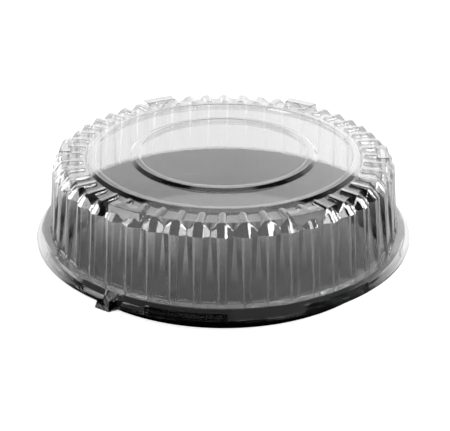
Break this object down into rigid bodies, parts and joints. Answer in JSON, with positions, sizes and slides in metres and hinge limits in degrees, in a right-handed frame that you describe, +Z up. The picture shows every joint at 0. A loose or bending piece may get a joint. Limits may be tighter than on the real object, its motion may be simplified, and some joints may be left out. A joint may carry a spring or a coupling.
{
  "type": "catering tray with dome lid",
  "caption": "Round black plastic serving tray with a clear fluted dome lid that snaps over its rim and lifts off.",
  "frame": {"origin": "centre of the tray's underside, on the surface it stands on", "axes": "+Z up through the lid, -Y towards the viewer of the picture, +X to the viewer's right"},
  "size_m": [0.406, 0.406, 0.112],
  "materials": {
    "black_sheet": "glossy black thermoformed plastic sheet",
    "clear_sheet": "clear, smooth thermoformed plastic sheet"
  },
  "bodies": {
    "tray": {"tray": "black_sheet"},
    "lid": {"dome_lid": "clear_sheet"}
  },
  "joints": [
    {"name": "lid_lift", "type": "slide", "parent": "tray", "child": "lid", "axis": [0, 0, 1], "range_m": [0, 0.12]}
  ]
}
